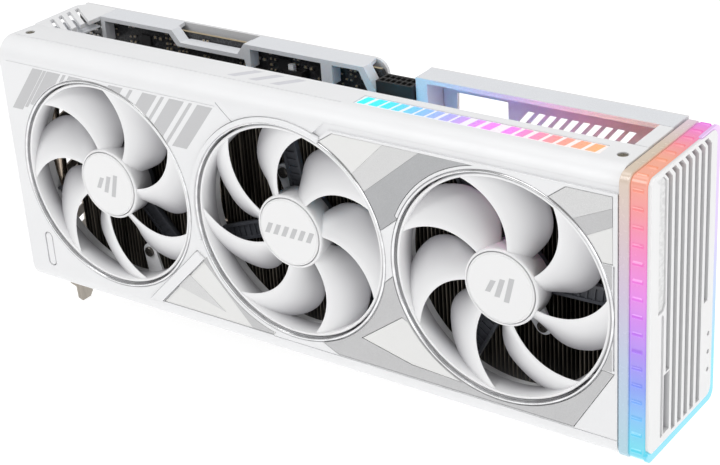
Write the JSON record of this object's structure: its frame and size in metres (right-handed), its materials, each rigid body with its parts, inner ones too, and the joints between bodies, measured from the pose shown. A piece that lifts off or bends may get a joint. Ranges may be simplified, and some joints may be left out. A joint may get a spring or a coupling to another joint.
{
  "type": "graphics card",
  "caption": "Long plug-in graphics card with axial cooling fans in a white shroud, a finned heatsink, an open-topped frame and a lit ring round its tail.",
  "frame": {"origin": "centre of the bounding box in X and Y, at the height of the bracket tab tips", "axes": "+X along the length from the bracket to the lit tail, +Y from the fan face to the backplate, +Z from the edge connector up to the edge with the power socket"},
  "size_m": [0.369, 0.066, 0.1615],
  "materials": {
    "backplate_white": "white painted aluminium",
    "board_black": "black solder mask",
    "bracket_metal": "brushed stainless steel",
    "cap_white": "satin white ribbed cap",
    "chip_black": "black moulded package",
    "choke_grey": "grey pressed ferrite",
    "clear_ring": "frosted clear plastic",
    "fan_white": "satin white plastic",
    "fin_dark": "dark coated stacked fins",
    "frame_white": "white painted frame",
    "gpu_package": "dark substrate with a bare die",
    "hub_cap_white": "smooth white disc",
    "led_board": "white LED board",
    "lit_bar": "lit inlay, colour runs from cyan to orange",
    "lit_ring": "lit ribbed light guide, colour runs from orange to cyan",
    "motor_grey": "dark grey moulded plastic",
    "nickel": "nickel-plated copper, polished",
    "panel_white": "satin off-white plastic",
    "port_metal": "plated port shell",
    "screw_metal": "dark plated screw",
    "shaft_steel": "ground steel",
    "shell_white": "satin moulded white plastic",
    "silver_trim": "fine-grained silver paint",
    "slider_white": "white slide button",
    "socket_black": "black moulded socket"
  },
  "bodies": {
    "card": {"accent_panel_lower_centre": "silver_trim", "accent_panel_lower_left": "panel_white", "accent_panel_top_right": "silver_trim", "accent_panel_upper_centre": "silver_trim", "backplate": "backplate_white", "backplate_screw_1": "screw_metal", "backplate_screw_2": "screw_metal", "backplate_screw_3": "screw_metal", "backplate_screw_4": "screw_metal", "bios_switch_housing": "socket_black", "centre_fan_trim_ring": "shell_white", "circuit_board": "board_black", "cold_plate": "nickel", "diagonal_bar": "shell_white", "displayport_socket_1": "port_metal", "displayport_socket_2": "port_metal", "displayport_socket_3": "port_metal", "fan_centre_motor_frame": "motor_grey", "fan_left_motor_frame": "motor_grey", "fan_right_motor_frame": "motor_grey", "fin_stack_centre": "fin_dark", "fin_stack_left": "fin_dark", "fin_stack_right": "fin_dark", "front_shroud": "shell_white", "gpu_package": "gpu_package", "hdmi_socket_1": "port_metal", "hdmi_socket_2": "port_metal", "heatpipe_centre": "nickel", "heatpipe_left": "nickel", "heatpipe_right": "nickel", "infill_panel": "panel_white", "io_bracket": "bracket_metal", "led_strip": "led_board", "memory_chip_1": "chip_black", "memory_chip_2": "chip_black", "memory_chip_3": "chip_black", "memory_chip_4": "chip_black", "power_choke_1": "choke_grey", "power_choke_2": "choke_grey", "power_socket": "socket_black", "ring_diffuser": "clear_ring", "ring_light_guide": "lit_ring", "tail_cap": "cap_white", "tail_end_band": "shell_white", "tail_frame": "frame_white", "top_frame": "frame_white", "top_light_bar": "lit_bar", "top_louvre_panel": "shell_white", "top_screw_1": "screw_metal", "top_screw_2": "screw_metal"},
    "fan_left": {"fan_left_rotor": "fan_white", "fan_left_hub_cap": "hub_cap_white", "fan_left_shaft": "shaft_steel"},
    "fan_centre": {"fan_centre_rotor": "fan_white", "fan_centre_hub_cap": "hub_cap_white", "fan_centre_shaft": "shaft_steel"},
    "fan_right": {"fan_right_rotor": "fan_white", "fan_right_hub_cap": "hub_cap_white", "fan_right_shaft": "shaft_steel"},
    "bios_slider": {"bios_switch_slider": "slider_white"}
  },
  "joints": [
    {"name": "fan_left_spin", "type": "hinge", "parent": "card", "child": "fan_left", "pos_m": [-0.1097, -0.0248, 0.0955], "axis": [0, 1, 0], "continuous": true},
    {"name": "fan_centre_spin", "type": "hinge", "parent": "card", "child": "fan_centre", "pos_m": [0.0025, -0.0248, 0.0955], "axis": [0, 1, 0], "continuous": true},
    {"name": "fan_right_spin", "type": "hinge", "parent": "card", "child": "fan_right", "pos_m": [0.1147, -0.0248, 0.0955], "axis": [0, 1, 0], "continuous": true},
    {"name": "bios_switch_slide", "type": "slide", "parent": "card", "child": "bios_slider", "axis": [1, 0, 0], "range_m": [0, 0.0042]}
  ]
}
